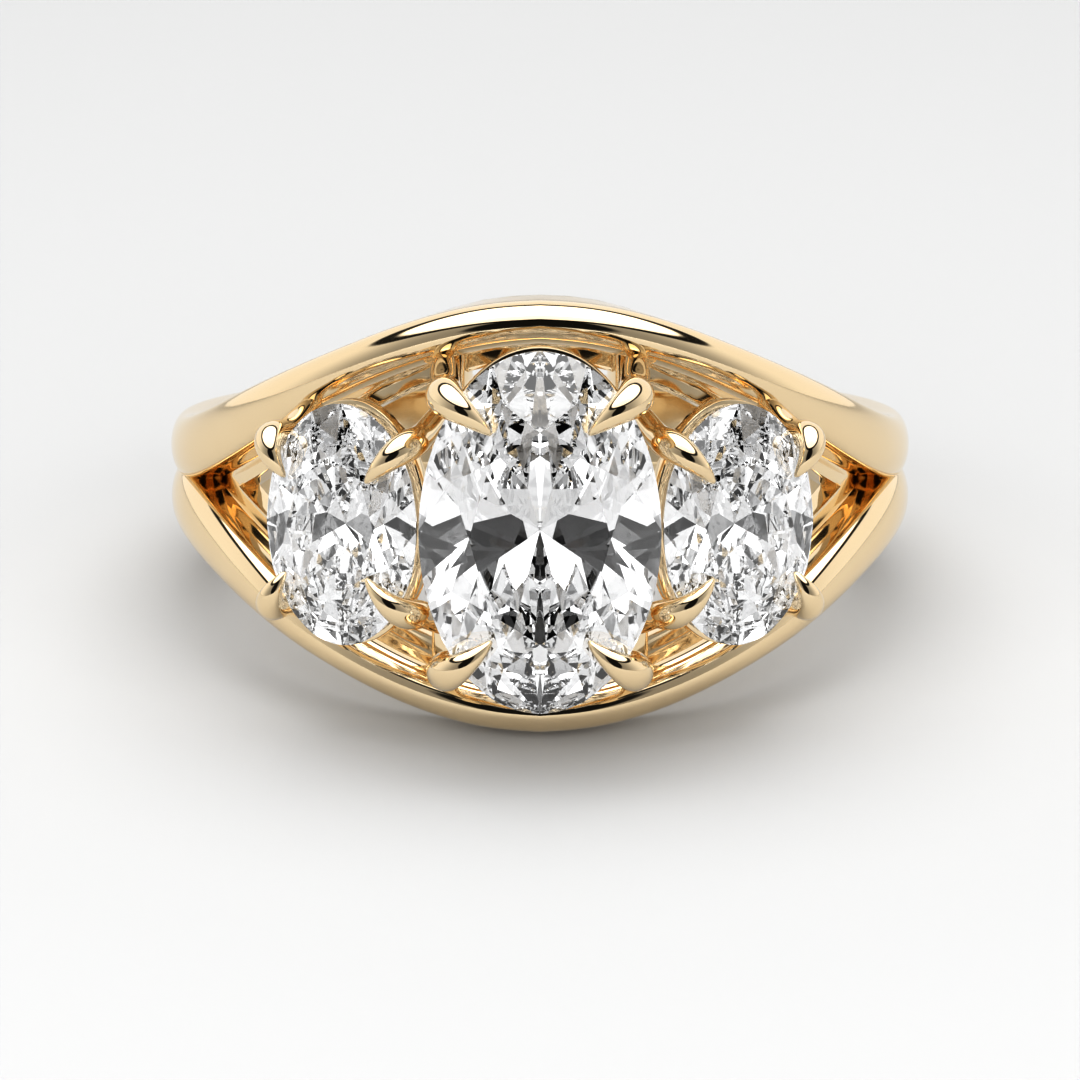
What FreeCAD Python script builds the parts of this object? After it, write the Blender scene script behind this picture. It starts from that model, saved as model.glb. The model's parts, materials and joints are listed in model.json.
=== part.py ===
import FreeCAD, Part
import math
import os

# Three stone ring with a split shank, lying on its side as it rests by itself.
# It is drawn first in its own ring frame, in millimetres: the finger axis is Z, the stones
# face -Y, and an angle round the finger starts at the middle stone and grows towards +X.
# At the end everything is tipped about X into the pose in which the ring lies on a table.

V = FreeCAD.Vector
doc = FreeCAD.newDocument("ThreeStoneRing")

# Driving sizes
sheet = doc.addObject("Spreadsheet::Sheet", "Sizes")

SIZES = [
    ("finger_radius", "8.46", "inside of the band"),
    ("rail_root_radius", "8.2", "where a rail's section starts, inside the finger hole"),
    ("ledge_radius", "9.06", "outer face of the ledge along the foot of each rail"),
    ("ledge_width", "0.5", "how far the ledge stands out of the rail's inner wall"),
    ("hole_reach", "16", "half length of the cylinder that opens the finger hole"),
    ("centre_width", "6.03", "middle stone across the ring"),
    ("centre_length", "9.09", "middle stone along the finger"),
    ("centre_radius", "12.57", "finger axis to the middle stone's girdle plane"),
    ("side_width", "4.19", "side stone across the ring"),
    ("side_length", "6.13", "side stone along the finger"),
    ("side_radius", "12.17", "finger axis to a side stone's girdle plane"),
    ("side_angle", "24.2", "angle of a side stone round the finger"),
    ("table_share", "0.58", "table radius over girdle radius"),
    ("crown_share", "0.30", "crown height over half the stone's width"),
    ("pavilion_share", "0.84", "pavilion depth over half the stone's width"),
    ("girdle_share", "0.045", "girdle thickness over half the stone's width"),
    ("seat_clearance", "0.05", "how much wider a claw's seat is than its stone, on each side"),
    ("gallery_drop", "0.46", "girdle plane to the top of the gallery ring"),
    ("gallery_height", "0.46", "height of the gallery ring"),
    ("gallery_wall", "0.35", "wall of the gallery ring"),
    ("gallery_proud", "0.05", "how far a gallery ring stands outside the girdle's ends"),
    ("centre_gallery_side", "-0.06", "the same at the girdle's sides, beside the side stones"),
    ("side_gallery_side", "0.05", "the same at a side stone's sides"),
    ("bridge_angle", "14.6", "angle of a cross bridge round the finger"),
    ("bridge_width", "0.9", "width of a cross bridge round the finger"),
    ("bridge_height", "0.95", "height of a cross bridge above the finger"),
    ("bridge_root", "0.7", "how far a cross bridge starts inside the finger hole"),
    ("bridge_reach", "4.3", "half length of a cross bridge along the finger"),
]

# One row for each station of the upper rail, from the middle stone to the back of the band
RAIL_COLUMNS = ("angle", "edge", "half_width", "crown", "arch")
RAIL_ROWS = [
    (0, 5.55, 0.56, 10.60, 0.72),
    (10, 5.40, 0.60, 10.60, 0.72),
    (20, 4.94, 0.64, 10.60, 0.71),
    (30, 4.28, 0.68, 10.59, 0.69),
    (40, 3.60, 0.74, 10.49, 0.62),
    (50, 2.96, 0.82, 10.29, 0.53),
    (60, 2.36, 0.86, 10.18, 0.47),
    (70, 1.89, 0.88, 10.17, 0.45),
    (80, 1.62, 0.87, 10.17, 0.45),
    (95, 1.54, 0.86, 10.17, 0.45),
    (110, 1.52, 0.85, 10.17, 0.45),
    (125, 1.50, 0.84, 10.17, 0.45),
    (140, 1.48, 0.83, 10.17, 0.45),
    (155, 1.46, 0.82, 10.17, 0.45),
    (170, 1.45, 0.81, 10.17, 0.45),
    (180, 1.45, 0.81, 10.17, 0.45),
]

# One row for each control section of a claw, from its foot to its tip. Across and along are
# shares of the stone's half width and half length, height is measured from the girdle plane.
CLAW_COLUMNS = ("across", "along", "height", "radius")
CENTRE_CLAW = [
    (0.80, 0.88, -3.10, 0.36),
    (0.80, 0.82, -1.70, 0.36),
    (0.77, 0.755, -0.70, 0.40),
    (0.79, 0.765, -0.05, 0.47),
    (0.785, 0.76, 0.52, 0.49),
    (0.67, 0.71, 0.98, 0.37),
    (0.52, 0.64, 0.98, 0.23),
    (0.385, 0.56, 0.80, 0.06),
]
OUTER_CLAW = [
    (0.92, 0.92, -2.70, 0.31),
    (0.90, 0.80, -1.50, 0.31),
    (0.88, 0.70, -0.62, 0.34),
    (0.90, 0.705, -0.05, 0.40),
    (0.89, 0.70, 0.38, 0.41),
    (0.81, 0.60, 0.70, 0.31),
    (0.71, 0.485, 0.68, 0.18),
    (0.62, 0.385, 0.52, 0.05),
]
INNER_CLAW = [
    (0.86, 0.95, -2.95, 0.31),
    (0.90, 0.84, -1.50, 0.31),
    (0.93, 0.72, -0.62, 0.34),
    (0.95, 0.71, -0.05, 0.40),
    (0.91, 0.68, 0.42, 0.40),
    (0.78, 0.59, 0.76, 0.31),
    (0.62, 0.48, 0.80, 0.19),
    (0.47, 0.385, 0.68, 0.05),
]

next_row = 1


def put(alias, value, note=""):
    """Write one named number into the sheet."""
    global next_row
    cell = "B%d" % next_row
    sheet.set("A%d" % next_row, alias)
    sheet.set(cell, value)
    sheet.setAlias(cell, alias)
    if note:
        sheet.set("C%d" % next_row, note)
    next_row += 1


def put_table(stem, columns, rows):
    """Write a table into the sheet, each cell named stem_column_row."""
    for index, row in enumerate(rows):
        for column, value in zip(columns, row):
            put("%s_%s_%02d" % (stem, column, index), str(value))


for name, value, note in SIZES:
    put(name, value, note)
put_table("rail", RAIL_COLUMNS, RAIL_ROWS)
put_table("centre_claw", CLAW_COLUMNS, CENTRE_CLAW)
put_table("outer_claw", CLAW_COLUMNS, OUTER_CLAW)
put_table("inner_claw", CLAW_COLUMNS, INNER_CLAW)
doc.recompute()


def size(alias):
    """Read a named number back from the sheet."""
    return float(sheet.get(alias))


def table_row(stem, columns, index):
    """Read one row of a table back from the sheet."""
    return [size("%s_%s_%02d" % (stem, column, index)) for column in columns]


def bind(target, prop, expression):
    """Tie a property to the sheet."""
    target.setExpression(prop, expression)


# Rails
SHOULDER_WEIGHT = math.sqrt(0.5)


def rail_section(angle, edge, half_width, crown, arch):
    """Closed wire of one rail section: an arched outside, flat sides and a stepped foot."""
    outward = V(math.sin(math.radians(angle)), -math.cos(math.radians(angle)), 0)

    def at(radius, along):
        return outward * radius + V(0, 0, along)

    middle = edge - half_width
    inner = edge - 2 * half_width
    shoulder = crown - arch
    top = Part.BSplineCurve()
    top.buildFromPolesMultsKnots(
        [at(shoulder, edge), at(crown, edge), at(crown, middle), at(crown, inner), at(shoulder, inner)],
        [3, 2, 3], [0, 0.5, 1], False, 2,
        [1, SHOULDER_WEIGHT, 1, SHOULDER_WEIGHT, 1])
    ledge = size("ledge_radius")
    root = size("rail_root_radius")
    lip = inner - size("ledge_width")
    corners = [at(shoulder, inner), at(ledge, inner), at(ledge, lip), at(root, lip),
               at(root, edge), at(shoulder, edge)]
    sides = [Part.LineSegment(a, b).toShape() for a, b in zip(corners, corners[1:])]
    return Part.Wire([top.toShape()] + sides)


def rail_wires():
    """Sections all the way round, starting and ending at the back of the band."""
    stations = [table_row("rail", RAIL_COLUMNS, i) for i in range(len(RAIL_ROWS))]
    left = [[-row[0]] + row[1:] for row in reversed(stations)]
    right = stations[1:-1]
    return [rail_section(*row) for row in left + right]


rail_loop = doc.addObject("Part::Feature", "RailLoop")
rail_loop.Shape = Part.makeLoft(rail_wires(), True, False, True)

# The two rails meet in a plane, so each keeps only its own side of it
far_side = doc.addObject("Part::Box", "FarSide")
bind(far_side, "Length", "2 * Sizes.hole_reach")
bind(far_side, "Width", "2 * Sizes.hole_reach")
bind(far_side, "Height", "Sizes.hole_reach")
far_side.Placement = FreeCAD.Placement(V(-size("hole_reach"), -size("hole_reach"), -size("hole_reach")),
                                       FreeCAD.Rotation())

upper_rail = doc.addObject("Part::Cut", "UpperRail")
upper_rail.Base = rail_loop
upper_rail.Tool = far_side

lower_rail = doc.addObject("Part::Mirroring", "LowerRail")
lower_rail.Source = upper_rail
lower_rail.Normal = V(0, 0, 1)


# Stones
def seat_placement(radius, angle):
    """Put a stone's own frame, with its table along +Z, at an angle round the finger."""
    upright = FreeCAD.Rotation(V(1, 0, 0), 90)
    turn = FreeCAD.Rotation(V(0, 0, 1), angle)
    outward = turn.multVec(V(0, -1, 0))
    return FreeCAD.Placement(outward * radius, turn.multiply(upright))


FACET_STEP = math.radians(45)
SIDES = 8
GIRDLE_OVERSIZE = 1 / math.cos(FACET_STEP / 4)
STAR_RADIUS = 0.79
LOWER_RADIUS = 0.26


def facet_solid(width, length):
    """Oval brilliant before its girdle is turned: table, stars, kites and half facets."""
    half = width / 2
    stretch = length / width
    crown = size("crown_share")
    depth = size("pavilion_share")
    rim = size("girdle_share") / 2
    table = size("table_share")
    crown_slope = crown / (1 - table)
    ease = math.cos(FACET_STEP / 2)

    def point(radius, turn, height):
        angle = turn * FACET_STEP
        return V(half * radius * math.sin(angle), half * stretch * radius * math.cos(angle), half * height)

    def crown_height(radius, spread):
        return rim + (1 - radius * spread) * crown_slope

    def pavilion_height(radius, spread):
        return -rim - (1 - radius * spread) * depth

    faces = []
    table_ring = [point(table, k, crown_height(table, 1)) for k in range(SIDES)]
    faces.append(table_ring)
    for k in range(SIDES):
        star = point(STAR_RADIUS, k + 0.5, crown_height(STAR_RADIUS, ease))
        star_before = point(STAR_RADIUS, k - 0.5, crown_height(STAR_RADIUS, ease))
        edge = GIRDLE_OVERSIZE
        high = point(edge, k, crown_height(edge, 1))
        high_next = point(edge, k + 1, crown_height(edge, 1))
        high_half = point(edge, k + 0.5, crown_height(edge, 1))
        low = point(edge, k, pavilion_height(edge, 1))
        low_next = point(edge, k + 1, pavilion_height(edge, 1))
        low_half = point(edge, k + 0.5, pavilion_height(edge, 1))
        keel = point(LOWER_RADIUS, k + 0.5, pavilion_height(LOWER_RADIUS, ease))
        keel_before = point(LOWER_RADIUS, k - 0.5, pavilion_height(LOWER_RADIUS, ease))
        culet = point(0, 0, pavilion_height(0, 1))
        faces.append([table_ring[k], star, table_ring[(k + 1) % SIDES]])
        faces.append([table_ring[k], star_before, high, star])
        faces.append([star, high, high_half])
        faces.append([star, high_half, high_next])
        faces.append([high, low, low_half, high_half])
        faces.append([high_half, low_half, low_next, high_next])
        faces.append([keel, low_half, low])
        faces.append([keel, low_next, low_half])
        faces.append([culet, keel, low, keel_before])
    shell = Part.Shell([Part.Face(Part.makePolygon(ring + ring[:1])) for ring in faces])
    solid = Part.Solid(shell)
    if solid.Volume < 0:
        solid.reverse()
    return solid


def oval_prism(name, half_length, half_width, height, drop):
    """Upright oval prism whose sizes are expressions, starting at the height drop."""
    oval = doc.addObject("Part::Ellipse", name + "Oval")
    bind(oval, "MajorRadius", half_length)
    bind(oval, "MinorRadius", half_width)
    bind(oval, "Placement.Base.z", drop)
    bind(oval, "Placement.Rotation.Angle", "90")
    prism = doc.addObject("Part::Extrusion", name)
    prism.Base = oval
    prism.DirMode = "Custom"
    prism.Dir = V(0, 0, 1)
    bind(prism, "LengthFwd", height)
    prism.Solid = True
    return prism


def make_stone(name, stem, growth=0):
    """Facetted block cut to a round girdle, in the stone's own frame."""
    block = doc.addObject("Part::Feature", name + "Facets")
    block.Shape = facet_solid(size(stem + "_width") + 2 * growth, size(stem + "_length") + 2 * growth)
    reach = "Sizes.%s_width" % stem
    girdle = oval_prism(name + "Girdle", "Sizes.%s_length / 2 + %r" % (stem, growth),
                        "Sizes.%s_width / 2 + %r" % (stem, growth), "2 * " + reach, "-" + reach)
    stone = doc.addObject("Part::Common", name)
    stone.Base = block
    stone.Tool = girdle
    return stone


# Gallery rings under the girdles
def make_gallery(name, stem, placement):
    """Oval ring of gold under a stone's girdle."""
    outer_long = "Sizes.%s_length / 2 + Sizes.gallery_proud" % stem
    outer_wide = "Sizes.%s_width / 2 + Sizes.%s_gallery_side" % (stem, stem)
    drop = "-Sizes.gallery_drop - Sizes.gallery_height"
    outer = oval_prism(name + "Outer", outer_long, outer_wide, "Sizes.gallery_height", drop)
    inner = oval_prism(name + "Inner", outer_long + " - Sizes.gallery_wall",
                       outer_wide + " - Sizes.gallery_wall", "Sizes.gallery_height", drop)
    ring = doc.addObject("Part::Cut", name)
    ring.Base = outer
    ring.Tool = inner
    ring.Placement = placement
    return ring


# Claws
RING_TURNS = [k * math.pi / 4 for k in range(9)]
RING_WEIGHTS = [1 if k % 2 == 0 else math.sqrt(0.5) for k in range(9)]
SPLINE_DEGREE = 3


def tapered_wire(centres, radii, bend_axis):
    """Smooth solid wire of changing thickness, drawn by round control sections."""
    poles = []
    for i, (centre, radius) in enumerate(zip(centres, radii)):
        run = centres[min(i + 1, len(centres) - 1)] - centres[max(i - 1, 0)]
        flat = V(bend_axis).normalize()
        rise = run.cross(flat).normalize()
        flat = rise.cross(run).normalize()
        reaches = [radius / weight for weight in RING_WEIGHTS]
        poles.append([centre + flat * (reach * math.cos(turn)) + rise * (reach * math.sin(turn))
                      for turn, reach in zip(RING_TURNS, reaches)])
    spans = len(centres) - SPLINE_DEGREE
    ends = SPLINE_DEGREE + 1
    skin = Part.BSplineSurface()
    skin.buildFromPolesMultsKnots(
        poles, [ends] + [1] * (spans - 1) + [ends], [3, 2, 2, 2, 3],
        list(range(spans + 1)), [0, 1, 2, 3, 4], False, False, SPLINE_DEGREE, 2,
        [RING_WEIGHTS] * len(centres))
    side = skin.toShape()
    caps = [Part.Face(Part.Wire([edge])) for edge in side.Edges if edge.isClosed()]
    shell = Part.Shell([side] + caps)
    shell.sewShape()
    solid = Part.Solid(shell)
    solid.fix(0, 0, 0)
    return solid


def claw_solid(table, rows, stem, side, end):
    """Claw from its foot up the side of the stone and over to its tip."""
    half_width = size(stem + "_width") / 2
    half_length = size(stem + "_length") / 2
    stations = [table_row(table, CLAW_COLUMNS, i) for i in range(rows)]
    centres = [V(side * a * half_width, end * b * half_length, h) for a, b, h, r in stations]
    radii = [row[3] for row in stations]
    bend_axis = (centres[-1] - centres[0]).cross(V(0, 0, 1))
    return tapered_wire(centres, radii, bend_axis)


def make_claw(name, table, rows, stem, placement, side, end, seat):
    """Claw with the stone's seat cut into it."""
    wire = doc.addObject("Part::Feature", name + "Wire")
    wire.Shape = claw_solid(table, rows, stem, side, end)
    wire.Placement = placement
    claw = doc.addObject("Part::Cut", name)
    claw.Base = wire
    claw.Tool = seat
    return claw


# Cross bridges between the stones
def make_bridge(name, side):
    bridge = doc.addObject("Part::Box", name)
    bind(bridge, "Length", "Sizes.bridge_width")
    bind(bridge, "Width", "Sizes.bridge_height + Sizes.bridge_root")
    bind(bridge, "Height", "2 * Sizes.bridge_reach")
    turn = FreeCAD.Rotation(V(0, 0, 1), side * size("bridge_angle"))
    corner = V(-size("bridge_width") / 2, -size("finger_radius") - size("bridge_height"), -size("bridge_reach"))
    bridge.Placement = FreeCAD.Placement(turn.multVec(corner), turn)
    return bridge


centre_place = seat_placement(size("centre_radius"), 0)
left_place = seat_placement(size("side_radius"), -size("side_angle"))
right_place = seat_placement(size("side_radius"), size("side_angle"))

SETTINGS = [
    ("Centre", "centre", centre_place, 0),
    ("Left", "side", left_place, -1),
    ("Right", "side", right_place, 1),
]

gold = [upper_rail, lower_rail, make_bridge("LeftBridge", -1), make_bridge("RightBridge", 1)]
stones = {}
for name, stem, place, side in SETTINGS:
    stones[name] = make_stone(name + "Stone", stem)
    seat = make_stone(name + "Seat", stem, size("seat_clearance"))
    seat.Placement = place
    for end in (1, -1):
        for hand in (1, -1):
            if stem == "centre":
                table, rows = "centre_claw", len(CENTRE_CLAW)
            elif hand == side:
                table, rows = "outer_claw", len(OUTER_CLAW)
            else:
                table, rows = "inner_claw", len(INNER_CLAW)
            label = "%sClaw%s%s" % (name, "Upper" if end > 0 else "Lower", "Right" if hand > 0 else "Left")
            gold.append(make_claw(label, table, rows, stem, place, hand, end, seat))
    gold.append(make_gallery(name + "Gallery", stem, place))

# The goldsmith's joints are made one after another, each on all that is soldered so far
soldered = gold[0]
for piece in gold[1:]:
    joint = doc.addObject("Part::Fuse", "With" + piece.Name)
    joint.Base = soldered
    joint.Tool = piece
    soldered = joint

finger_hole = doc.addObject("Part::Cylinder", "FingerHole")
bind(finger_hole, "Radius", "Sizes.finger_radius")
bind(finger_hole, "Height", "2 * Sizes.hole_reach")
finger_hole.Placement = FreeCAD.Placement(V(0, 0, -size("hole_reach")), FreeCAD.Rotation(V(0, 0, 1), -90))

mount = doc.addObject("Part::Cut", "Mount")
mount.Base = soldered
mount.Tool = finger_hole
mount.Label = "mount"

doc.recompute()

# Rest pose: the ring lies on the lowest edge of its lower rail and the back of its band
last = len(RAIL_ROWS) - 1
head_drop = size("rail_edge_00")
back_drop = size("rail_edge_%02d" % last)
back_radius = size("rail_crown_%02d" % last) - size("rail_arch_%02d" % last)
rest_tilt = math.degrees(math.atan2(head_drop - back_drop, size("finger_radius") + back_radius))
tip = FreeCAD.Rotation(V(1, 0, 0), -rest_tilt)
tipped = mount.Shape.copy()
tipped.Placement = FreeCAD.Placement(V(0, 0, 0), tip)
box = tipped.optimalBoundingBox(False)
rest_place = FreeCAD.Placement(V(-box.Center.x, -box.Center.y, -box.ZMin), tip)
print("rest tilt %.3f, box %.3f x %.3f x %.3f" % (rest_tilt, box.XLength, box.YLength, box.ZLength))

mount.Placement = rest_place
PARTS = {"mount": mount}
for name, stem, place, side in SETTINGS:
    stone = stones[name]
    stone.Placement = rest_place.multiply(place)
    stone.Label = "%s_stone" % {"Centre": "center", "Left": "left", "Right": "right"}[name]
    PARTS[stone.Label] = stone
doc.recompute()

for item in doc.Objects:
    if "Invalid" in item.State or "Error" in item.State:
        raise RuntimeError("%s failed: %s" % (item.Name, item.State))
for node, item in PARTS.items():
    shape = item.Shape
    if shape.isNull() or not shape.isValid():
        raise RuntimeError("%s has no valid shape" % node)
    print(node, "solids", len(shape.Solids), "faces", len(shape.Faces), "volume %.2f" % shape.Volume)

os.makedirs("parts", exist_ok=True)
for node, item in PARTS.items():
    item.Shape.exportStep("parts/%s.step" % node)
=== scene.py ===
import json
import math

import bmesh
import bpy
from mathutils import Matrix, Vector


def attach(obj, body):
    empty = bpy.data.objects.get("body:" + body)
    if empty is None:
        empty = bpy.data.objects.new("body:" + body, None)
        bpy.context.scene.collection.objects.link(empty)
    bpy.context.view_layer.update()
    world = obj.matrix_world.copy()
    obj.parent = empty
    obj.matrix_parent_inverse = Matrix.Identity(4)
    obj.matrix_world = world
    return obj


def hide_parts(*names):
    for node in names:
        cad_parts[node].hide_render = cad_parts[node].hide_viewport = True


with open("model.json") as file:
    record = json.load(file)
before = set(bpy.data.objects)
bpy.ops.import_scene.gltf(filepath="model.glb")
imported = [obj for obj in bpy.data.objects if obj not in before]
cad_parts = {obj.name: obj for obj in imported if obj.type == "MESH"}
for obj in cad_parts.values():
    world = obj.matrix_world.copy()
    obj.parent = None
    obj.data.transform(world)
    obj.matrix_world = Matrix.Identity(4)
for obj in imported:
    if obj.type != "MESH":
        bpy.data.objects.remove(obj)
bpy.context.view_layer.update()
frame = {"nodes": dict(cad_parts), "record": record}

# %% [markdown]
# # A three stone ring
# The ring has a split shank: two gold rails run side by side round the back of the finger and
# part at the shoulders, and three upright oval stones stand in claws between them. It lies on
# its side on a pale table, as it would rest by itself.
#
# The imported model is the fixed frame: it says where the finger hole is and how the ring lies.
# All modelling happens upright in the ring's own frame, in millimetres, because a goldsmith
# thinks of a ring that way: Z is the finger axis and the stones face -Y. Each finished piece is
# then laid down with the turn and shift that the frame has, so nothing is fitted by eye.

MM = 0.001
UP = Vector((0, 0, 1))
bore = frame["record"]["mounts"][0]
FINGER_RADIUS = bore["dims"]["r_mm"]
finger_axis = Vector(bore["axis"]).normalized()
tip_over = UP.rotation_difference(finger_axis).to_matrix().to_4x4()
lay_down = Matrix.Translation(Vector(bore["pos_m"])) @ tip_over
ring_to_world = lay_down @ Matrix.Scale(MM, 4)
print("finger axis leans", round(math.degrees(finger_axis.angle(UP)), 2), "degrees")

# %% [markdown]
# The picture is taken with a long lens from a little above the plane of the finger hole. The
# camera is placed in the ring's frame and laid down with it, so its angle to the ring is the
# picture's, while the floor stays level.

# %% Camera
CAMERA_RISE = math.radians(8.7)
CAMERA_DISTANCE = 122.0
LENS = 147.2
SENSOR = 36.0
AIM = Vector((0, -0.31, -2.04))
to_camera = Vector((0, -math.cos(CAMERA_RISE), math.sin(CAMERA_RISE)))
sight = (lay_down.to_3x3() @ -to_camera).normalized()

camera_data = bpy.data.cameras.new("camera")
camera_data.lens = LENS
camera_data.sensor_width = SENSOR
camera_data.clip_start = 0.001
camera = bpy.data.objects.new("camera", camera_data)
bpy.context.scene.collection.objects.link(camera)
camera.location = ring_to_world @ (AIM + to_camera * CAMERA_DISTANCE)
camera.rotation_euler = sight.to_track_quat("-Z", "Y").to_euler()
bpy.context.scene.camera = camera
print("camera stands", [round(value, 4) for value in camera.location])

# %% [markdown]
# Modelling by operators needs a few small helpers, because an operator acts on whatever is
# selected and active. The first group looks after that: what is open for editing, what is
# selected, and which points are picked by their place.


# %% Helpers for selecting
def to_object():
    """Leave edit mode."""
    bpy.ops.object.mode_set(mode="OBJECT")


def edit(piece):
    """Open a piece for editing."""
    bpy.context.view_layer.objects.active = piece
    bpy.ops.object.mode_set(mode="EDIT")


def select_only(*pieces):
    """Select these pieces and nothing else; the first one becomes active."""
    bpy.ops.object.select_all(action="DESELECT")
    for piece in pieces:
        piece.select_set(True)
    bpy.context.view_layer.objects.active = pieces[0]


def begin(name):
    """Name the primitive that was just added and open it for editing."""
    piece = bpy.context.object
    piece.name = name
    piece.data.name = name
    bpy.ops.object.mode_set(mode="EDIT")
    return piece


def pick(piece, test):
    """Select the points whose place passes the test, and what lies between them."""
    bpy.ops.mesh.select_mode(type="VERT")
    mesh = bmesh.from_edit_mesh(piece.data)
    for part in (mesh.verts, mesh.edges, mesh.faces):
        for item in part:
            item.select = False
    for point in mesh.verts:
        point.select = bool(test(point.co))
    mesh.select_flush(True)
    bmesh.update_edit_mesh(piece.data)


# %% [markdown]
# The second group finishes a piece: one lets a modifier do its work, one closes seams and turns
# the faces outwards, and one lays the piece down and lets it move with the ring. The place of a
# piece is kept in its mesh, so the object itself stays at the origin, as the frame's nodes do.

# %% Helpers for finishing
SEAM = 0.004
SMOOTH_ANGLE = math.radians(32)
EDGE_ANGLE = math.radians(50)
EDGE_ROUNDING = 0.05


def apply(piece, kind, **settings):
    """Add a modifier with its settings and apply it."""
    bpy.context.view_layer.objects.active = piece
    modifier = piece.modifiers.new(kind.title(), kind)
    for key, value in settings.items():
        setattr(modifier, key, value)
    bpy.ops.object.modifier_apply(modifier=modifier.name)


def smooth_mesh(piece, levels=2):
    """Smooth a coarse cage by subdivision."""
    apply(piece, "SUBSURF", levels=levels, render_levels=levels)


def soften_edges(piece):
    """Round the sharp edges a little, as polishing does."""
    apply(piece, "BEVEL", width=EDGE_ROUNDING, segments=2, limit_method="ANGLE",
          angle_limit=EDGE_ANGLE)


def clean(piece, distance):
    """Merge doubled points and turn every face outwards."""
    edit(piece)
    bpy.ops.mesh.select_all(action="SELECT")
    bpy.ops.mesh.remove_doubles(threshold=distance)
    bpy.ops.mesh.normals_make_consistent(inside=False)
    to_object()


def place(piece, matrix):
    """Move a piece and keep the move in its mesh."""
    select_only(piece)
    piece.matrix_world = matrix
    bpy.ops.object.transform_apply(location=True, rotation=True, scale=True)


def join(name, pieces):
    """Make one piece of many."""
    select_only(*pieces)
    bpy.ops.object.join()
    pieces[0].name = name
    pieces[0].data.name = name
    return pieces[0]


def finish_piece(piece):
    """Lay a finished piece down with the ring and let it move with it."""
    select_only(piece)
    bpy.ops.object.shade_smooth_by_angle(angle=SMOOTH_ANGLE)
    place(piece, ring_to_world)
    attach(piece, "root")
    print(piece.name, "faces", len(piece.data.polygons))


# %% [markdown]
# ## The shank
# The shank is two rails that meet at the back and part at the shoulders. A curve with a bevel
# could draw a round wire, but a rail has a real section: an arched outside, a flat inside and a
# stepped foot, the ledge that shows as a thin frame through the gap. So one rail is drawn as a
# section and swept round the finger. Its height and width change on the way, and the table
# gives them at sixteen angles, counted from the middle stone to the back.

# %% Rail sizes
RAIL_ROWS = [
    # angle, outer edge, half width, crown radius, arch
    (0, 5.55, 0.56, 10.60, 0.72),
    (10, 5.40, 0.60, 10.60, 0.72),
    (20, 4.94, 0.64, 10.60, 0.71),
    (30, 4.28, 0.68, 10.59, 0.69),
    (40, 3.60, 0.74, 10.49, 0.62),
    (50, 2.96, 0.82, 10.29, 0.53),
    (60, 2.36, 0.86, 10.18, 0.47),
    (70, 1.89, 0.88, 10.17, 0.45),
    (80, 1.62, 0.87, 10.17, 0.45),
    (95, 1.54, 0.86, 10.17, 0.45),
    (110, 1.52, 0.85, 10.17, 0.45),
    (125, 1.50, 0.84, 10.17, 0.45),
    (140, 1.48, 0.83, 10.17, 0.45),
    (155, 1.46, 0.82, 10.17, 0.45),
    (170, 1.45, 0.81, 10.17, 0.45),
    (180, 1.45, 0.81, 10.17, 0.45),
]
LEDGE_RADIUS = 9.06
LEDGE_WIDTH = 0.5


def smooth_step(share, low, high, rise_low, rise_high):
    """Value between low and high that leaves and arrives with the given rises."""
    square, cube = share ** 2, share ** 3
    return ((2 * cube - 3 * square + 1) * low + (cube - 2 * square + share) * rise_low
            + (3 * square - 2 * cube) * high + (cube - square) * rise_high)


def rail_at(angle):
    """Edge, half width, crown and arch at an angle, smoothly between the table's rows."""
    last = len(RAIL_ROWS) - 1
    index = max(i for i, row in enumerate(RAIL_ROWS) if row[0] <= angle)
    if index == last:
        return RAIL_ROWS[last][1:]
    rows = [RAIL_ROWS[i] for i in (abs(index - 1), index, index + 1, min(index + 2, last))]
    stops = [row[0] for row in rows]
    if index == 0:
        stops[0] = -stops[0]
    span = stops[2] - stops[1]
    share = (angle - stops[1]) / span
    values = []
    for before, low, high, after in zip(*[row[1:] for row in rows]):
        rise_low = (high - before) / (stops[2] - stops[0]) * span
        rise_high = (after - low) / (stops[3] - stops[1]) * span
        values.append(smooth_step(share, low, high, rise_low, rise_high))
    return values


print("rail at the shoulder", [round(value, 2) for value in rail_at(45)])

# %% [markdown]
# The section starts as a plane merged into a single point, which is then extruded point by
# point round the outline. Spinning the closed outline half way round the finger gives a rail
# with the same section all along.

# %% Rail section, spun half way round
STATIONS = 36
ARCH_POINTS = 8
edge0, half0, crown0, arch0 = rail_at(0)
shoulder0 = crown0 - arch0
middle0 = edge0 - half0
inner0 = edge0 - 2 * half0

section = [(FINGER_RADIUS, edge0), ((FINGER_RADIUS + shoulder0) / 2, edge0)]
for step in range(ARCH_POINTS + 1):
    turn = math.pi * step / ARCH_POINTS
    section.append((shoulder0 + arch0 * math.sin(turn), middle0 + half0 * math.cos(turn)))
section += [(LEDGE_RADIUS, inner0), (LEDGE_RADIUS, inner0 - LEDGE_WIDTH),
            (FINGER_RADIUS, inner0 - LEDGE_WIDTH)]

bpy.ops.object.select_all(action="DESELECT")
bpy.ops.mesh.primitive_plane_add(size=1, location=(0, 0, 0))
rails = begin("shank")
bpy.ops.mesh.merge(type="CENTER")
bpy.ops.transform.translate(value=(0, -section[0][0], section[0][1]))
for start, end in zip(section, section[1:]):
    stride = (0, start[0] - end[0], end[1] - start[1])
    bpy.ops.mesh.extrude_vertices_move(TRANSFORM_OT_translate={"value": stride})
bpy.ops.mesh.select_all(action="SELECT")
bpy.ops.mesh.edge_face_add()
bpy.ops.mesh.delete(type="ONLY_FACE")
bpy.ops.mesh.select_all(action="SELECT")
bpy.ops.mesh.spin(steps=STATIONS, angle=math.pi, center=(0, 0, 0), axis=(0, 0, 1))

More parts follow.
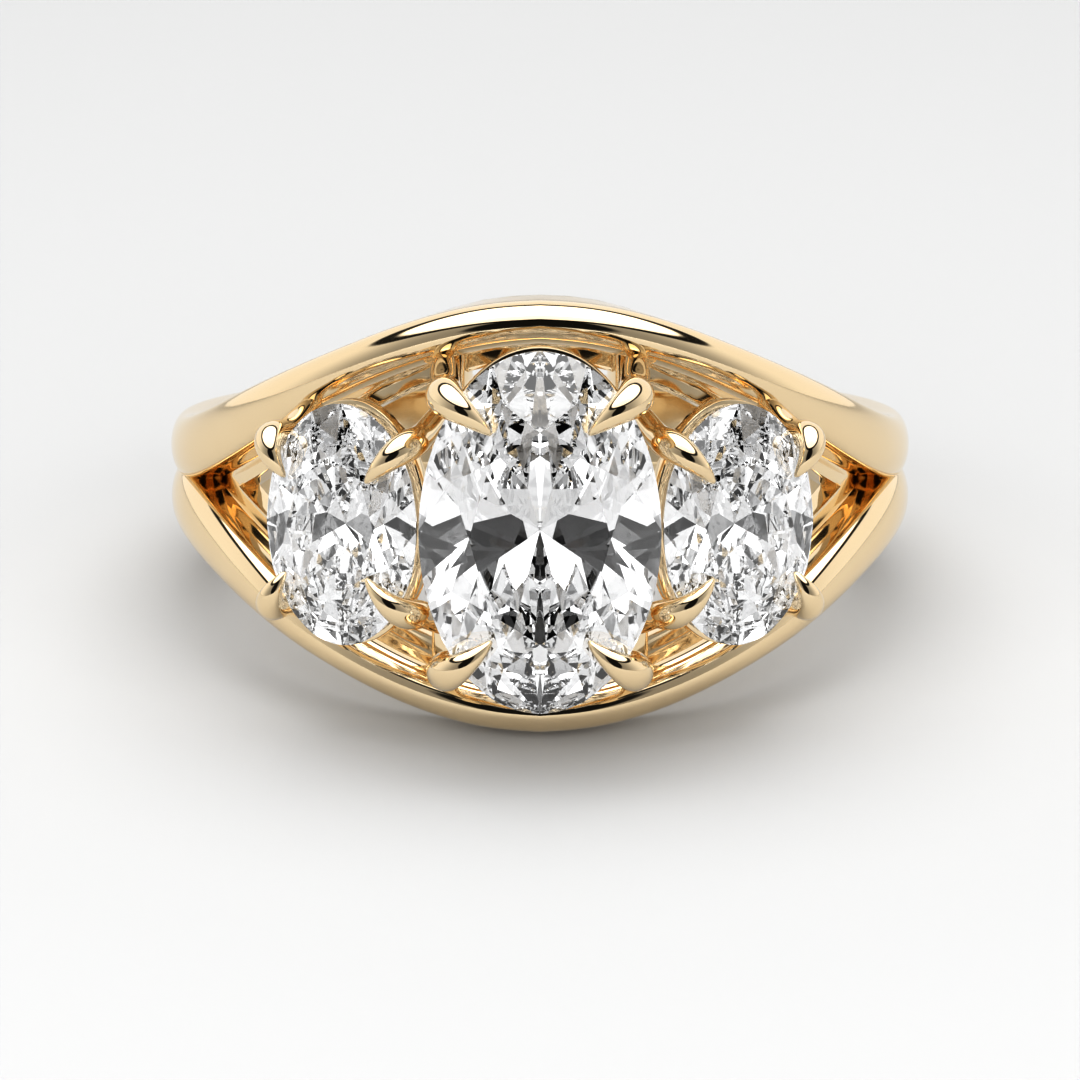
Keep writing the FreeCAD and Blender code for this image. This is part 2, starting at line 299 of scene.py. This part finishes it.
# The rest counts angles towards +X, so a rail that was spun the other way is flipped over
points = bmesh.from_edit_mesh(rails.data).verts
if sum(point.co.x for point in points) < 0:
    bpy.ops.mesh.select_all(action="SELECT")
    bpy.ops.transform.resize(value=(-1, 1, 1), center_override=(0, 0, 0))
print("spun points", len(points))

# %% [markdown]
# Now each station of the spin is pushed to the sizes in the table, as a goldsmith files a rail
# from place to place: first the foot with its ledge is moved along the finger, then the rest is
# made wider and moved after it, and last the arch is raised.

# %% Shape each station of the rail
ON_STATION = 0.002
CLEAR = 0.01


def outward(angle):
    """Direction away from the finger at an angle in degrees, counted towards +X."""
    return Vector((math.sin(math.radians(angle)), -math.cos(math.radians(angle)), 0))


def in_foot(co):
    return co.xy.length < LEDGE_RADIUS + CLEAR and co.z < inner0 + CLEAR


for station in range(STATIONS + 1):
    angle = 180.0 * station / STATIONS
    edge, half, crown, arch = rail_at(angle)
    shoulder = crown - arch
    out = outward(angle)

    def here(co):
        return abs(co.dot(out) - co.xy.length) < ON_STATION

    pick(rails, lambda co: here(co) and in_foot(co))
    bpy.ops.transform.translate(value=(0, 0, edge - 2 * half - inner0))

    pick(rails, lambda co: here(co) and not in_foot(co))
    bpy.ops.transform.resize(value=(1, 1, half / half0), center_override=(0, 0, middle0))
    bpy.ops.transform.translate(value=(0, 0, edge - half - middle0))

    pick(rails, lambda co: here(co) and co.xy.length > shoulder0 - CLEAR)
    lift = shoulder / shoulder0
    bpy.ops.transform.resize(value=(lift, lift, 1), center_override=(0, 0, 0))
    grow = arch / (arch0 * lift)
    bpy.ops.transform.resize(value=(grow, grow, 1), center_override=tuple(out * shoulder))
bpy.ops.mesh.select_all(action="DESELECT")
to_object()
print("rail spans", [[round(value, 2) for value in rails.bound_box[corner]] for corner in (0, 6)])

# %% [markdown]
# The cage is smoothed by subdivision, with its sharp edges creased so that they stay. At the
# back a rail is wider than its half of the band, so it is cut off where the two rails meet, at
# the middle of the band. A mirror then makes the other half and the other rail in one go, and
# the sharp edges are rounded by a twentieth of a millimetre, as polishing leaves them.

# %% Smooth the rail and fold it over
CREASE_ANGLE = math.radians(60)

edit(rails)
bpy.ops.mesh.select_mode(type="EDGE")
mesh = bmesh.from_edit_mesh(rails.data)
for item in list(mesh.verts) + list(mesh.edges) + list(mesh.faces):
    item.select = False
for rim in mesh.edges:
    if len(rim.link_faces) == 2 and rim.calc_face_angle() > CREASE_ANGLE:
        rim.select = True
bmesh.update_edit_mesh(rails.data)
bpy.ops.transform.edge_crease(value=1)
to_object()
smooth_mesh(rails)

edit(rails)
bpy.ops.mesh.select_mode(type="VERT")
bpy.ops.mesh.select_all(action="SELECT")
bpy.ops.mesh.bisect(plane_co=(0, 0, 0), plane_no=(0, 0, 1), clear_inner=True,
                    threshold=0.0001)
to_object()
apply(rails, "MIRROR", use_axis=(True, False, True), merge_threshold=SEAM)
clean(rails, SEAM)
soften_edges(rails)
print("rails", len(rails.data.polygons), "faces")

# %% [markdown]
# ## The settings
# Each stone stands in its own small frame: its table looks along +Z and its long axis lies
# along the finger. Claws and setting rails are modelled in that frame and then moved to the
# stone's angle round the finger, so the two side settings are the same piece twice.


# %% Where the stones stand
def stone_place(name, width, length, radius, angle):
    return {"name": name, "width": width, "length": length, "radius": radius, "angle": angle}


CENTRE = stone_place("center", 6.03, 9.09, 12.57, 0.0)
LEFT = stone_place("left", 4.19, 6.13, 12.17, -24.2)
RIGHT = dict(LEFT, name="right", angle=24.2)
STONES = [CENTRE, LEFT, RIGHT]


def turned(angle):
    """Turn round the finger by an angle in degrees."""
    return Matrix.Rotation(math.radians(angle), 4, "Z")


def stone_frame(stone):
    upright = Matrix.Rotation(math.radians(90), 4, "X")
    return turned(stone["angle"]) @ Matrix.Translation((0, -stone["radius"], 0)) @ upright


for stone in STONES:
    centre = stone_frame(stone).translation
    print(stone["name"], "stone at", [round(value, 2) for value in centre])

# %% [markdown]
# A claw is a tapering wire that climbs beside the stone, swells over the girdle and ends in a
# point on the crown. A row of its table gives a place beside the stone, as shares of the
# stone's half width and half length and as a height over the girdle, and the wire's radius
# there. The centre claws are the stoutest, and the side stones' inner claws reach furthest in.

# %% Claw sizes
CENTRE_CLAW = [
    (0.80, 0.88, -3.10, 0.36),
    (0.80, 0.82, -1.70, 0.36),
    (0.77, 0.755, -0.70, 0.40),
    (0.79, 0.765, -0.05, 0.47),
    (0.785, 0.76, 0.52, 0.49),
    (0.67, 0.71, 0.98, 0.37),
    (0.52, 0.64, 0.98, 0.23),
    (0.385, 0.56, 0.80, 0.06),
]
OUTER_CLAW = [
    (0.92, 0.92, -2.70, 0.31),
    (0.90, 0.80, -1.50, 0.31),
    (0.88, 0.70, -0.62, 0.34),
    (0.90, 0.705, -0.05, 0.40),
    (0.89, 0.70, 0.38, 0.41),
    (0.81, 0.60, 0.70, 0.31),
    (0.71, 0.485, 0.68, 0.18),
    (0.62, 0.385, 0.52, 0.05),
]
INNER_CLAW = [
    (0.86, 0.95, -2.95, 0.31),
    (0.90, 0.84, -1.50, 0.31),
    (0.93, 0.72, -0.62, 0.34),
    (0.95, 0.71, -0.05, 0.40),
    (0.91, 0.68, 0.42, 0.40),
    (0.78, 0.59, 0.76, 0.31),
    (0.62, 0.48, 0.80, 0.19),
    (0.47, 0.385, 0.68, 0.05),
]
BEND_ROW = 4
print("a claw has", len(CENTRE_CLAW), "rows")

# %% [markdown]
# A bevelled curve would give a wire, but not one that swells and tapers so evenly to a point.
# So a claw starts as a small ring of eight points. The ring is extruded from one row of the
# table to the next, turned to follow the bend and resized, and a subdivision surface makes the
# smooth drop that a polished claw has. Subdivision pulls a ring of eight in a little, so the
# ring starts wider by that share.

# %% One claw
CLAW_SIDES = 8
ROUND_SHARE = 2 / 3 + math.cos(2 * math.pi / CLAW_SIDES) / 3


def make_claw(name, rows, stone):
    """Claw at the right upper corner of a stone, in the stone's own frame."""
    half_width = stone["width"] / 2
    half_length = stone["length"] / 2
    path = [Vector((a * half_width, b * half_length, h)) for a, b, h, r in rows]
    reach = path[-1] - path[BEND_ROW]
    heading = math.atan2(reach.y, reach.x)
    to_bend = Matrix.Rotation(-heading, 3, "Z")
    path = [to_bend @ point for point in path]

    bpy.ops.object.select_all(action="DESELECT")
    bpy.ops.mesh.primitive_circle_add(vertices=CLAW_SIDES, radius=rows[0][3] / ROUND_SHARE,
                                      fill_type="NGON", location=path[0])
    claw = bpy.context.object
    bpy.ops.object.transform_apply(location=True, rotation=True, scale=True)
    begin(name)
    bpy.ops.mesh.select_all(action="SELECT")
    lean = 0.0
    for index in range(1, len(rows)):
        move = tuple(path[index] - path[index - 1])
        bpy.ops.mesh.extrude_region_move(TRANSFORM_OT_translate={"value": move})
        run = path[min(index + 1, len(rows) - 1)] - path[index - 1]
        new_lean = math.atan2(run.x, run.z)
        # With no window the rotate operator turns the other way round
        bpy.ops.transform.rotate(value=lean - new_lean, orient_axis="Y",
                                 center_override=tuple(path[index]))
        lean = new_lean
        ratio = rows[index][3] / rows[index - 1][3]
        bpy.ops.transform.resize(value=(ratio, ratio, ratio),
                                 center_override=tuple(path[index]))
    to_object()
    smooth_mesh(claw)
    place(claw, Matrix.Rotation(heading, 4, "Z"))
    return claw


# %% [markdown]
# Four claws hold each stone. One is modelled for each side of the stone and copied to its upper
# and lower end. A flipped copy is turned inside out, so it is cleaned and its faces are turned
# outwards again.

# %% Twelve claws
HAIR = 0.00001
OUTER_SIDE = {"center": 0, "left": -1, "right": 1}


def mirrored(name, piece, across, along):
    """Copy of a piece with its own mesh, flipped across or along the stone."""
    copy = piece.copy()
    copy.data = piece.data.copy()
    copy.name = name
    bpy.context.scene.collection.objects.link(copy)
    place(copy, Matrix.Diagonal((across, along, 1, 1)))
    clean(copy, HAIR)
    return copy


claws = []
for stone in STONES:
    for hand in (1, -1):
        if stone is CENTRE:
            rows = CENTRE_CLAW
        elif hand == OUTER_SIDE[stone["name"]]:
            rows = OUTER_CLAW
        else:
            rows = INNER_CLAW
        model = make_claw("claw", rows, stone)
        for end in (1, -1):
            claw = mirrored("claw", model, hand, end)
            place(claw, stone_frame(stone))
            claws.append(claw)
        bpy.data.objects.remove(model)
print("claws", len(claws))

# %% [markdown]
# Under each girdle runs an oval setting rail, soldered to the claws. It is a flat cylinder
# pushed into an oval and hollowed: the end faces are inset by the wall's thickness, and the
# inner faces are bridged into a hole. The middle one is drawn in at its sides, because the side
# stones come close to it there.

# %% Setting rails
GALLERY_POINTS = 96
GALLERY_DROP = 0.46
GALLERY_HEIGHT = 0.46
GALLERY_WALL = 0.35
GALLERY_END = 0.05
GALLERY_SIDE = {"center": -0.06, "left": 0.05, "right": 0.05}
FLAT_ENOUGH = 0.9


def make_gallery(stone):
    """Oval rail under a stone's girdle, in the stone's own frame."""
    half_width = stone["width"] / 2 + GALLERY_SIDE[stone["name"]]
    half_length = stone["length"] / 2 + GALLERY_END
    middle = (0, 0, -GALLERY_DROP - GALLERY_HEIGHT / 2)
    bpy.ops.object.select_all(action="DESELECT")
    bpy.ops.mesh.primitive_cylinder_add(vertices=GALLERY_POINTS, radius=1, depth=GALLERY_HEIGHT,
                                        end_fill_type="NGON", location=middle)
    gallery = bpy.context.object
    bpy.ops.object.transform_apply(location=True, rotation=True, scale=True)
    begin("gallery")
    bpy.ops.mesh.select_all(action="SELECT")
    bpy.ops.transform.resize(value=(half_width, half_length, 1), center_override=(0, 0, 0))
    bpy.ops.mesh.select_mode(type="FACE")
    mesh = bmesh.from_edit_mesh(gallery.data)
    for face in mesh.faces:
        face.select = abs(face.normal.z) > FLAT_ENOUGH
    bmesh.update_edit_mesh(gallery.data)
    bpy.ops.mesh.inset(thickness=GALLERY_WALL)
    bpy.ops.mesh.bridge_edge_loops()
    to_object()
    soften_edges(gallery)
    return gallery


galleries = []
for stone in STONES:
    gallery = make_gallery(stone)
    place(gallery, stone_frame(stone))
    galleries.append(gallery)
print("setting rails", [len(gallery.data.polygons) for gallery in galleries])

# %% [markdown]
# Two plain bars cross from rail to rail in the gaps between the stones and tie the head of the
# ring together. Each is a block, stretched to size, with bevelled edges.

# %% Bars between the rails
BAR_ANGLE = 14.6
BAR_WIDTH = 0.9
BAR_HEIGHT = 0.95
BAR_REACH = 4.3
BAR_ROUNDING = 0.12
bars = []
for side in (-1, 1):
    bpy.ops.object.select_all(action="DESELECT")
    bpy.ops.mesh.primitive_cube_add(size=1, location=(0, 0, 0))
    bar = begin("bar")
    bpy.ops.mesh.select_all(action="SELECT")
    bpy.ops.transform.resize(value=(BAR_WIDTH, BAR_HEIGHT, 2 * BAR_REACH),
                             center_override=(0, 0, 0))
    bpy.ops.transform.translate(value=(0, -FINGER_RADIUS - BAR_HEIGHT / 2, 0))
    bpy.ops.mesh.bevel(offset=BAR_ROUNDING, segments=3, affect="EDGES")
    to_object()
    place(bar, turned(side * BAR_ANGLE))
    bars.append(bar)
print("bars", len(bars))

# %% [markdown]
# The gold is soldered into one mount in the frame. Here it becomes four pieces, each of one
# kind, which together replace the frame's mount.

# %% Join the gold into the pieces of the mount
gold_pieces = [rails, join("claws", claws), join("galleries", galleries), join("bars", bars)]
for piece in gold_pieces:
    finish_piece(piece)
    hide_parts("mount")

# %% [markdown]
# ## Finishes
# Shader maths reads best as plain sums. This small class holds one socket, and adding,
# subtracting or multiplying it adds the Math node that does so. Every other node comes from its
# node method, which takes the type, the settings and the values or links of the sockets. A
# socket is named, or counted as i0, i1 and so on where names repeat.


# %% A small class for shader maths
class Wire:
    """One socket; sums and products of wires add Math nodes."""

    def __init__(self, tree, socket):
        self.tree = tree
        self.socket = socket

    @staticmethod
    def node(tree, kind, settings=None, **sockets):
        """Add a node, set its settings first, and then give its sockets values or links."""
        made = tree.nodes.new(kind)
        for key, value in (settings or {}).items():
            setattr(made, key, value)
        for key, value in sockets.items():
            counted = key[0] == "i" and key[1:].isdigit()
            socket = made.inputs[int(key[1:]) if counted else key.replace("_", " ")]
            if isinstance(value, Wire):
                tree.links.new(value.socket, socket)
            else:
                socket.default_value = value
        return made

    def _math(self, operation, first, second):
        made = Wire.node(self.tree, "ShaderNodeMath", {"operation": operation},
                         i0=first, i1=second)
        return Wire(self.tree, made.outputs[0])

    def __add__(self, other):
        return self._math("ADD", self, other)

    __radd__ = __add__

    def __sub__(self, other):
        return self._math("SUBTRACT", self, other)

    def __rsub__(self, other):
        return self._math("SUBTRACT", other, self)

    def __mul__(self, other):
        return self._math("MULTIPLY", self, other)

    __rmul__ = __mul__


# %% Helpers for materials
def new_material(name, **constants):
    """Material whose shader has these sockets set to constants."""
    material = bpy.data.materials.new(name)
    material.use_nodes = True
    tree = material.node_tree
    shader = tree.nodes["Principled BSDF"]
    for key, value in constants.items():
        shader.inputs[key.replace("_", " ")].default_value = value
    return material, tree, shader


def noise(tree, scale, detail=2.0):
    """Soft noise fixed to the piece; at a scale of 1000 its cells are a millimetre wide."""
    spot = Wire(tree, Wire.node(tree, "ShaderNodeTexCoord").outputs["Object"])
    made = Wire.node(tree, "ShaderNodeTexNoise", Vector=spot, Scale=scale, Detail=detail)
    return Wire(tree, made.outputs["Fac"])


def blend(tree, share, first, second):
    """Colour between two colours."""
    made = Wire.node(tree, "ShaderNodeMix", {"data_type": "RGBA"}, Factor=share,
                     i6=first, i7=second)
    return Wire(tree, made.outputs[2])


def wear(piece, material):
    piece.data.materials.clear()
    piece.data.materials.append(material)


# %% [markdown]
# The gold is 14 karat, polished to a mirror: fully metallic, pale and warm. Real polish is
# never quite even, so faint swirls a few millimetres wide change its tone and roughness a
# little, and a fine grain moves the normal. Light that leaves a stone passes the gold by, so
# the stones stay colourless, as they look over an open setting.

# %% Polished gold
GOLD_LIGHT = (0.90, 0.76, 0.54, 1)
GOLD_DEEP = (0.86, 0.70, 0.47, 1)
gold, tree, shader = new_material("polished gold", Metallic=1.0)
swirl = noise(tree, 260.0)
tone = blend(tree, swirl, GOLD_LIGHT, GOLD_DEEP)
polish = 0.04 + swirl * 0.06
grain = Wire.node(tree, "ShaderNodeBump", Height=noise(tree, 700.0, 4.0), Strength=0.12,
                  Distance=0.00002)
tree.links.new(tone.socket, shader.inputs["Base Color"])
tree.links.new(polish.socket, shader.inputs["Roughness"])
tree.links.new(grain.outputs["Normal"], shader.inputs["Normal"])
for piece in gold_pieces:
    wear(piece, gold)
    piece.visible_transmission = False
wear(frame["nodes"]["mount"], gold)
print("gold on", len(gold_pieces), "pieces")

# %% [markdown]
# The stones are the frame's own solids, because every facet of a cut stone is a plane and a
# good solid already has them all. The finish is clear and perfectly smooth and bends light as
# strongly as diamond does, with hardly a trace of blue haze. The sparkle comes from the facets.

# %% Cut stone
DIAMOND_IOR = 2.417
CLEAR_WHITE = (1, 1, 1, 1)
FAINT_BLUE = (0.985, 0.99, 1, 1)
diamond, tree, shader = new_material("cut stone", Roughness=0.0, IOR=DIAMOND_IOR,
                                     Transmission_Weight=1.0)
haze = blend(tree, noise(tree, 400.0), CLEAR_WHITE, FAINT_BLUE)
tree.links.new(haze.socket, shader.inputs["Base Color"])
for stone in STONES:
    wear(frame["nodes"][stone["name"] + "_stone"], diamond)
print("stones", len(STONES))

# %% [markdown]
# ## The studio
# A ring is photographed on a pale sheet in a white room. The sheet is a plain matt plane.

# %% Table
TABLE_SIZE = 3
PAPER = (0.41, 0.41, 0.41, 1)
bpy.ops.object.select_all(action="DESELECT")
bpy.ops.mesh.primitive_plane_add(size=TABLE_SIZE, location=(0, 0, 0))
table = bpy.context.object
table.name = "table"
paper, tree, shader = new_material("pale paper", Base_Color=PAPER, Roughness=0.9)
table.data.materials.append(paper)
print("table", TABLE_SIZE, "m wide")

# %% [markdown]
# Polished gold and cut stones show little but the room, so the room is drawn with care, as the
# strength of the world's light in each direction. The ceiling is bright and the walls are
# softer, most of all in front of the ring. Where wall and ceiling meet runs a dark band, which
# draws the thin black line along the upper rail. Round the camera the room is dark too, as it
# is where a lens and its shade stand, and that gives the stones their dark facets.

# %% Light of the room
WALL = 1.12
CEILING = 2.25
FRONT_SHADE = 0.62
BAND_SHADE = 0.97
LENS_SHADE = 0.95
LENS_SHADE_RADIUS = (math.radians(22), math.radians(27))
world = bpy.data.worlds.new("room")
bpy.context.scene.world = world
world.use_nodes = True
tree = world.node_tree
ray = Wire(tree, Wire.node(tree, "ShaderNodeTexCoord").outputs["Generated"])
parts = Wire.node(tree, "ShaderNodeSeparateXYZ", Vector=ray).outputs
depth = Wire(tree, parts["Y"])
height = Wire(tree, parts["Z"])


def ease(value, low, high):
    """0 below low, 1 above high, with a soft step between."""
    made = Wire.node(tree, "ShaderNodeMapRange", {"interpolation_type": "SMOOTHSTEP"},
                     Value=value, From_Min=low, From_Max=high)
    return Wire(tree, made.outputs["Result"])


facing = Wire(tree, Wire.node(tree, "ShaderNodeVectorMath", {"operation": "DOT_PRODUCT"},
                              i0=ray, i1=tuple(-sight)).outputs["Value"])
inner_radius, outer_radius = LENS_SHADE_RADIUS
lens = ease(facing, math.cos(outer_radius), math.cos(inner_radius))
band = ease(height, 0.60, 0.63) * (1 - ease(height, 0.70, 0.73))
front = 1 - ease(depth, -0.95, 0.35)
wall = WALL * (1 - FRONT_SHADE * front)
light = wall + (CEILING - WALL) * ease(height, 0.70, 0.75)
light = light * (1 - BAND_SHADE * band) * (1 - LENS_SHADE * lens)
background = tree.nodes["Background"].inputs
background["Color"].default_value = (1, 1, 1, 1)
tree.links.new(light.socket, background["Strength"])
print("nodes in the room's light", len(tree.nodes))

# %% [markdown]
# Two lamps help the room. A softbox overhead gives the ring a shadow. A wide, low fill in front
# lightens that shadow, and it is hidden from reflections and from the stones, where it would
# show as a white patch.


# %% Lamps
def softbox(name, spot, size, power):
    """Rectangular lamp that shines at the middle of the table."""
    data = bpy.data.lights.new(name, "AREA")
    data.shape = "RECTANGLE"
    data.size, data.size_y = size
    data.energy = power
    lamp = bpy.data.objects.new(name, data)
    bpy.context.scene.collection.objects.link(lamp)
    lamp.location = spot
    lamp.rotation_euler = (-Vector(spot)).to_track_quat("-Z", "Y").to_euler()
    print(name, power, "W")
    return lamp


softbox("overhead", (0, 0.02, 0.22), (0.25, 0.2), 0.2)
fill = softbox("front fill", (0, -0.35, 0.16), (0.9, 0.3), 4.5)
fill.visible_glossy = False
fill.visible_transmission = False

# %% [markdown]
# Light bounces many times inside a cut stone before it comes out again, so the limits on
# bounces are raised, or the stones turn grey. The picture's middle tones are deepened a little,
# as in a print, which keeps the gold rich beside the white.

# %% Bounces and tone
BOUNCES = 24
rays = bpy.context.scene.cycles
rays.max_bounces = BOUNCES
rays.transmission_bounces = BOUNCES
rays.glossy_bounces = 16
bpy.context.scene.view_settings.view_transform = "Standard"
bpy.context.scene.view_settings.gamma = 0.7
print("bounces", rays.max_bounces)
